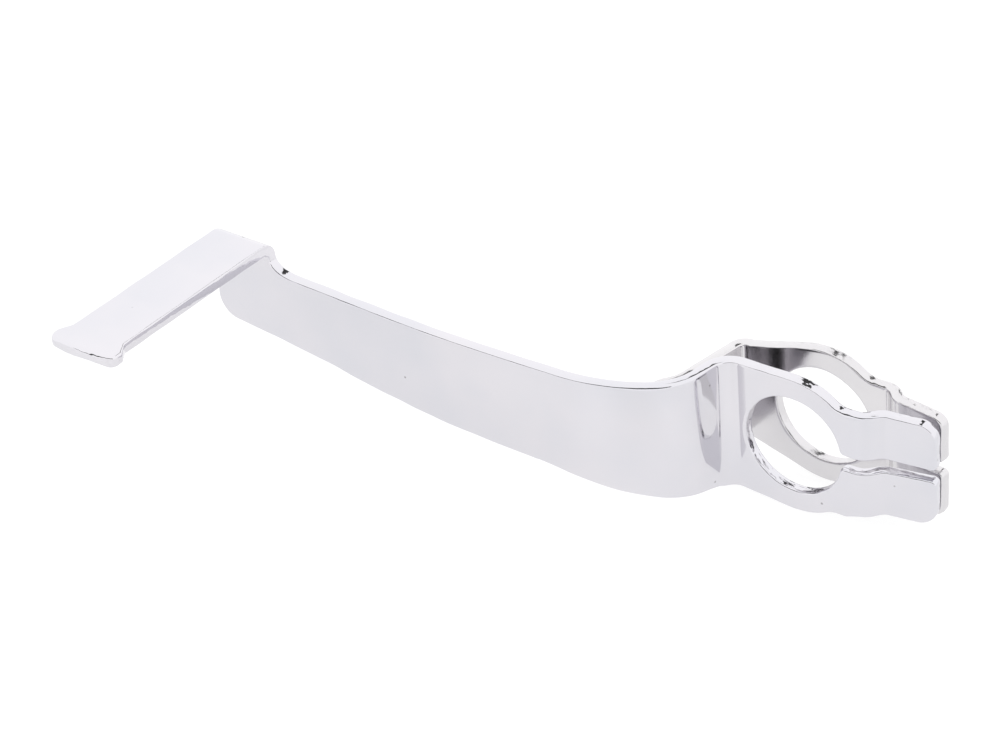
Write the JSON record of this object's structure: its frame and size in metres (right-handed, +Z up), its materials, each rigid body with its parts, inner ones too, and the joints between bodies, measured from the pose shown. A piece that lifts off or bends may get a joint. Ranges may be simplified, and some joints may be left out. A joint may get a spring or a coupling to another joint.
{
  "type": "foot lever",
  "caption": "Pressed sheet-steel foot lever with a folded foot pad at one end and a split two-ear clamp for a shaft at the other, bright chrome finish.",
  "frame": {"origin": "middle of the shaft clamp's bore, half way between the two ears", "axes": "+Y along the shaft axis towards the engine side, +X towards the clamp's lugs, the arm runs towards -X and the foot pad towards -Y, +Z up"},
  "size_m": [0.1783, 0.0934, 0.0428],
  "materials": {
    "lever_chrome": "bright chrome over polished pressed steel",
    "cheek_chrome": "bright chrome over polished pressed steel",
    "weld_steel": "fused steel nugget inside the lap"
  },
  "bodies": {
    "root": {"lever_arm": "lever_chrome", "rear_cheek": "cheek_chrome", "spot_welds": "weld_steel"}
  },
  "joints": []
}
